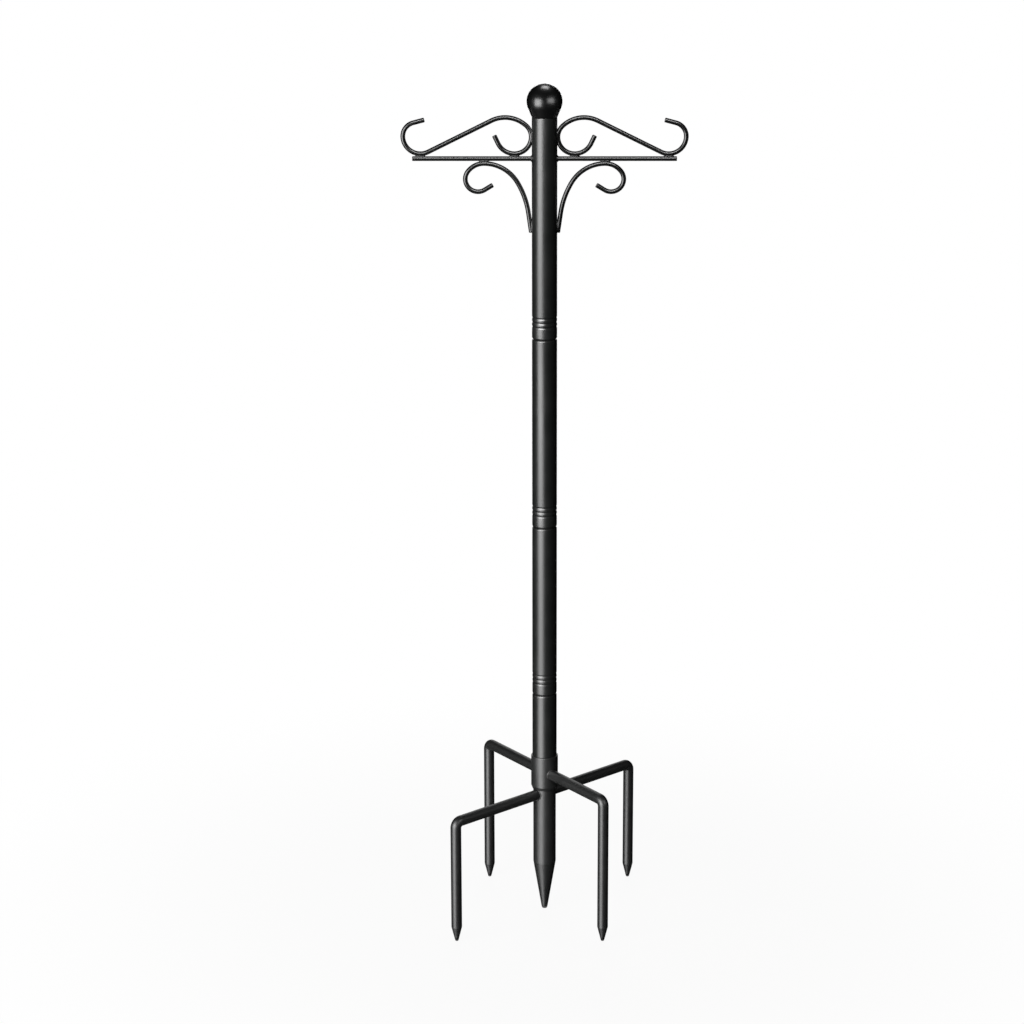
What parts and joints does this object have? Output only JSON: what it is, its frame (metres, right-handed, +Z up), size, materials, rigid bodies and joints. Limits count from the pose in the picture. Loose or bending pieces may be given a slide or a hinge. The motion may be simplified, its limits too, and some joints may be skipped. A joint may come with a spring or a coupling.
{
  "type": "bird feeder pole",
  "caption": "Black steel garden pole in push-together tubes, with scrolled hook arms, a ball finial and a pronged ground base that folds flat, for hanging bird feeders.",
  "frame": {"origin": "on the pole's axis, level with the blunt ends of the spike and the prongs", "axes": "+Z up along the pole, +X along the right-hand arm as pictured, +Y away from the viewer"},
  "size_m": [0.359, 0.2266, 1.1045],
  "materials": {
    "tube_powder_coat": "satin black powder coat on tube",
    "rod_powder_coat": "satin black powder coat on bent rod",
    "base_powder_coat": "matt black powder coat on the ground base",
    "ball_gloss": "gloss black moulded ball",
    "plated_steel": "zinc-plated turned steel",
    "bush_nylon": "black moulded nylon"
  },
  "bodies": {
    "base": {"spike_tube": "base_powder_coat", "spike_tip": "base_powder_coat", "base_spigot": "plated_steel", "lower_prong_left": "base_powder_coat", "lower_prong_right": "base_powder_coat"},
    "prong_swivel": {"swivel_collar": "base_powder_coat", "upper_prong_left": "base_powder_coat", "upper_prong_right": "base_powder_coat"},
    "lower_section": {"lower_tube": "tube_powder_coat", "lower_socket_bush": "bush_nylon"},
    "lower_mid_section": {"lower_mid_tube": "tube_powder_coat", "lower_mid_coupler": "plated_steel", "lower_mid_socket_bush": "bush_nylon"},
    "upper_mid_section": {"upper_mid_tube": "tube_powder_coat", "upper_mid_coupler": "plated_steel", "upper_mid_socket_bush": "bush_nylon"},
    "arm_section": {"arm_tube": "tube_powder_coat", "arm_coupler": "plated_steel", "crossbar": "rod_powder_coat", "left_hook_scroll": "rod_powder_coat", "right_hook_scroll": "rod_powder_coat", "left_brace_scroll": "rod_powder_coat", "right_brace_scroll": "rod_powder_coat", "finial_ball": "ball_gloss"}
  },
  "joints": [
    {"name": "prong_swivel", "type": "hinge", "parent": "base", "child": "prong_swivel", "pos_m": [0, 0, 0.1955], "axis": [0, 0, 1], "range_deg": [-75, 90]},
    {"name": "pole_lift", "type": "slide", "parent": "base", "child": "lower_section", "axis": [0, 0, 1], "range_m": [0, 0.05]},
    {"name": "lower_mid_lift", "type": "slide", "parent": "lower_section", "child": "lower_mid_section", "axis": [0, 0, 1], "range_m": [0, 0.045]},
    {"name": "upper_mid_lift", "type": "slide", "parent": "lower_mid_section", "child": "upper_mid_section", "axis": [0, 0, 1], "range_m": [0, 0.045]},
    {"name": "arms_turn", "type": "hinge", "parent": "upper_mid_section", "child": "arm_section", "pos_m": [0, 0, 0.7818], "axis": [0, 0, 1], "continuous": true}
  ]
}
